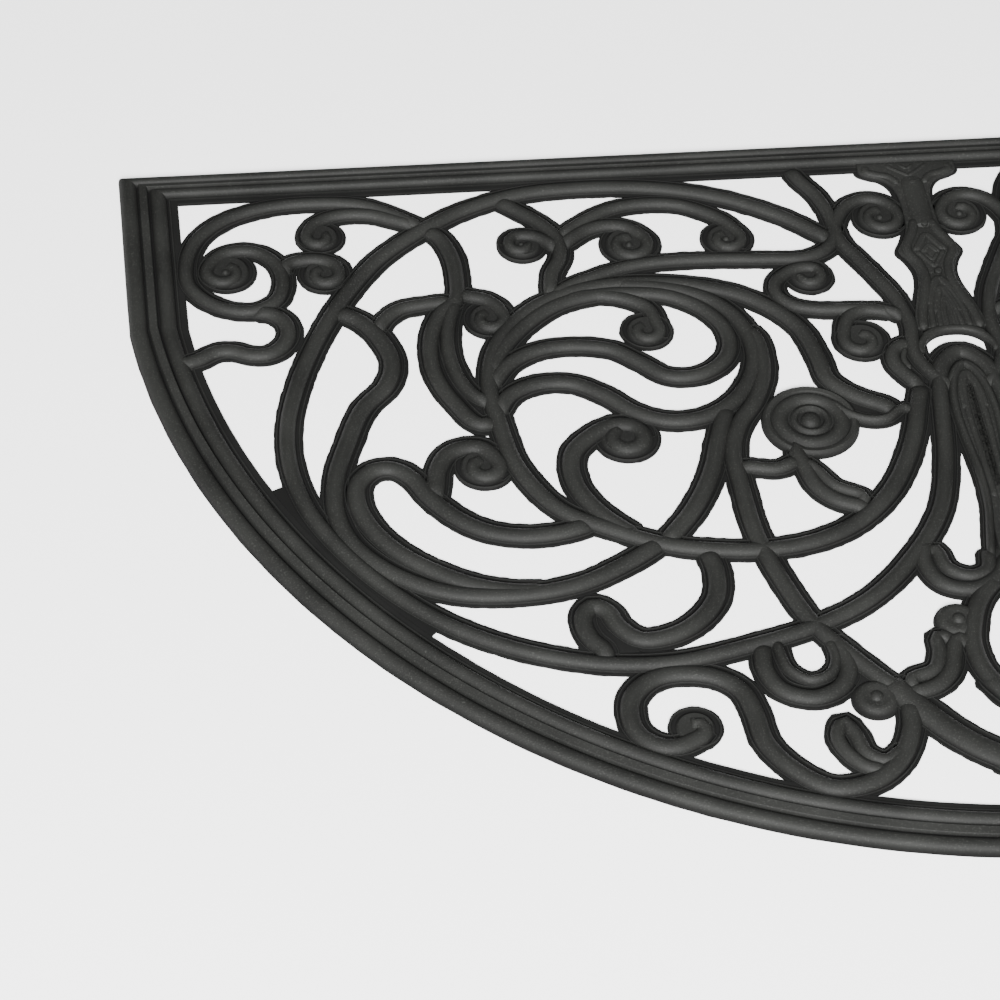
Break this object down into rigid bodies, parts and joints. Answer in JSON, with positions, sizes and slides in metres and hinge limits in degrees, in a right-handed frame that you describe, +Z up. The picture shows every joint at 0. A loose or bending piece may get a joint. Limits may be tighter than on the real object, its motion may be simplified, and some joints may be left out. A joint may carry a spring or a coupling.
{
  "type": "doormat",
  "caption": "Half-round openwork rubber doormat with a stepped border and traditional scrollwork, one straight side and an arc in front",
  "frame": {"origin": "middle of the bounding box's underside, on the floor that the mat lies on", "axes": "+X runs right along the straight side, +Y points from the arc to the straight side, which lies at the door, and +Z is up"},
  "size_m": [0.75, 0.44, 0.0055],
  "materials": {
    "rubber": "moulded black rubber, semi-matt, finely speckled"
  },
  "bodies": {
    "root": {"mat": "rubber"}
  },
  "joints": []
}
